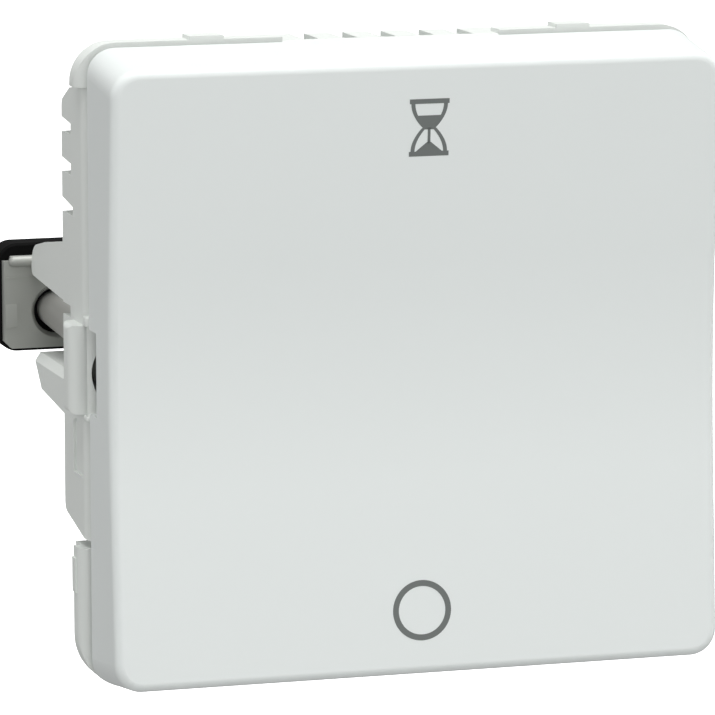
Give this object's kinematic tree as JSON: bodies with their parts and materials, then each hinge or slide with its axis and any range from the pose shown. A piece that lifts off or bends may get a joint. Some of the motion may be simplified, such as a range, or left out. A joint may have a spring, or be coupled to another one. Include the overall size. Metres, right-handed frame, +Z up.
{
  "type": "timer light switch",
  "caption": "Flush-mounted timer light switch insert: concave tilting front plate on a clawed support frame, with an electronics housing and screw terminals behind.",
  "frame": {"origin": "on the wall plane, in the middle of the front plate", "axes": "+X to the right as seen from the room, +Y back into the wall, +Z up"},
  "size_m": [0.0554, 0.0358, 0.0522],
  "materials": {
    "plate_white": "satin white",
    "frame_white": "satin off-white",
    "cradle_white": "matt",
    "lid_white": "matt",
    "housing_grey": "matt light grey",
    "carrier_black": "matt black",
    "claw_steel": "zinc plated",
    "screw_steel": "zinc plated",
    "terminal_steel": "plated",
    "bar_brass": "plain",
    "spring_steel": "wire",
    "board_green": "lacquered board",
    "relay_blue": "moulded case",
    "capacitor_yellow": "moulded case",
    "can_black": "sleeved can",
    "varistor_blue": "dipped",
    "part_black": "moulded",
    "switch_black": "moulded",
    "dial_white": "moulded",
    "plunger_white": "moulded"
  },
  "bodies": {
    "base": {"support_frame": "frame_white", "housing_lid": "lid_white", "rear_housing": "housing_grey", "circuit_board": "board_green", "dial_body": "relay_blue", "relay": "relay_blue", "film_capacitor": "capacitor_yellow", "round_capacitor": "can_black", "varistor": "varistor_blue", "fuse": "part_black", "control_chip": "part_black", "bridge_rectifier": "part_black", "start_switch": "switch_black", "stop_switch": "switch_black", "start_spring": "spring_steel", "stop_spring": "spring_steel", "contact_bar_1": "bar_brass", "contact_bar_2": "bar_brass", "contact_bar_3": "bar_brass", "contact_bar_4": "bar_brass"},
    "rocker": {"front_plate": "plate_white", "tilt_cradle": "cradle_white"},
    "start_push": {"start_plunger": "plunger_white", "start_switch_button": "dial_white"},
    "stop_push": {"stop_plunger": "plunger_white", "stop_switch_button": "dial_white"},
    "dial": {"time_dial": "dial_white"},
    "claw_screw_left": {"claw_screw_left": "screw_steel"},
    "claw_left": {"claw_plate_left": "claw_steel", "claw_carrier_left": "carrier_black"},
    "claw_screw_right": {"claw_screw_right": "screw_steel"},
    "claw_right": {"claw_plate_right": "claw_steel", "claw_carrier_right": "carrier_black"},
    "terminal_screw_1": {"terminal_screw_1": "screw_steel"},
    "terminal_cage_1": {"terminal_cage_1": "terminal_steel"},
    "terminal_screw_2": {"terminal_screw_2": "screw_steel"},
    "terminal_cage_2": {"terminal_cage_2": "terminal_steel"},
    "terminal_screw_3": {"terminal_screw_3": "screw_steel"},
    "terminal_cage_3": {"terminal_cage_3": "terminal_steel"},
    "terminal_screw_4": {"terminal_screw_4": "screw_steel"},
    "terminal_cage_4": {"terminal_cage_4": "terminal_steel"}
  },
  "joints": [
    {"name": "plate_tilt", "type": "hinge", "parent": "base", "child": "rocker", "pos_m": [0, -0.0084, 0], "axis": [1, 0, 0], "range_deg": [-1.5, 1.5], "stiffness_Nm_per_rad": 1},
    {"name": "start_push_in", "type": "slide", "parent": "base", "child": "start_push", "axis": [0, 1, 0], "range_m": [-0.0004, 0.0004], "deforming": ["start_spring"]},
    {"name": "stop_push_in", "type": "slide", "parent": "base", "child": "stop_push", "axis": [0, 1, 0], "range_m": [-0.0004, 0.0004], "deforming": ["stop_spring"]},
    {"name": "dial_turn", "type": "hinge", "parent": "base", "child": "dial", "pos_m": [0, -0.0074, 0], "axis": [0, 1, 0], "range_deg": [-135, 135]},
    {"name": "claw_screw_turn_left", "type": "hinge", "parent": "base", "child": "claw_screw_left", "pos_m": [-0.02125, -0.0067, -0.00035], "axis": [0.0906, -0.9884, -0.1219], "range_deg": [0, 2882]},
    {"name": "claw_slide_left", "type": "slide", "parent": "base", "child": "claw_left", "axis": [-0.0906, 0.9884, 0.1219], "range_m": [0, 0.004]},
    {"name": "claw_screw_turn_right", "type": "hinge", "parent": "base", "child": "claw_screw_right", "pos_m": [0.02125, -0.0067, -0.00035], "axis": [-0.0906, -0.9884, -0.1219], "range_deg": [0, 2882]},
    {"name": "claw_slide_right", "type": "slide", "parent": "base", "child": "claw_right", "axis": [0.0906, 0.9884, 0.1219], "range_m": [0, 0.004]},
    {"name": "terminal_screw_turn_1", "type": "hinge", "parent": "base", "child": "terminal_screw_1", "pos_m": [-0.0114, 0.0105, -0.021], "axis": [0, 0, 1], "range_deg": [0, 1730]},
    {"name": "terminal_clamp_1", "type": "slide", "parent": "base", "child": "terminal_cage_1", "axis": [0, 0, -1], "range_m": [0, 0.0024]},
    {"name": "terminal_screw_turn_2", "type": "hinge", "parent": "base", "child": "terminal_screw_2", "pos_m": [-0.0038, 0.0105, -0.021], "axis": [0, 0, 1], "range_deg": [0, 1730]},
    {"name": "terminal_clamp_2", "type": "slide", "parent": "base", "child": "terminal_cage_2", "axis": [0, 0, -1], "range_m": [0, 0.0024]},
    {"name": "terminal_screw_turn_3", "type": "hinge", "parent": "base", "child": "terminal_screw_3", "pos_m": [0.0038, 0.0105, -0.021], "axis": [0, 0, 1], "range_deg": [0, 1730]},
    {"name": "terminal_clamp_3", "type": "slide", "parent": "base", "child": "terminal_cage_3", "axis": [0, 0, -1], "range_m": [0, 0.0024]},
    {"name": "terminal_screw_turn_4", "type": "hinge", "parent": "base", "child": "terminal_screw_4", "pos_m": [0.0114, 0.0105, -0.021], "axis": [0, 0, 1], "range_deg": [0, 1730]},
    {"name": "terminal_clamp_4", "type": "slide", "parent": "base", "child": "terminal_cage_4", "axis": [0, 0, -1], "range_m": [0, 0.0024]}
  ],
  "couplings": [
    {"joint": "start_push_in", "follows": "plate_tilt", "m_per_rad": -0.015},
    {"joint": "stop_push_in", "follows": "plate_tilt", "m_per_rad": 0.015},
    {"joint": "claw_screw_turn_left", "follows": "claw_slide_left", "rad_per_m": 12566},
    {"joint": "claw_screw_turn_right", "follows": "claw_slide_right", "rad_per_m": 12566},
    {"joint": "terminal_screw_turn_1", "follows": "terminal_clamp_1", "rad_per_m": 12566},
    {"joint": "terminal_screw_turn_2", "follows": "terminal_clamp_2", "rad_per_m": 12566},
    {"joint": "terminal_screw_turn_3", "follows": "terminal_clamp_3", "rad_per_m": 12566},
    {"joint": "terminal_screw_turn_4", "follows": "terminal_clamp_4", "rad_per_m": 12566}
  ]
}
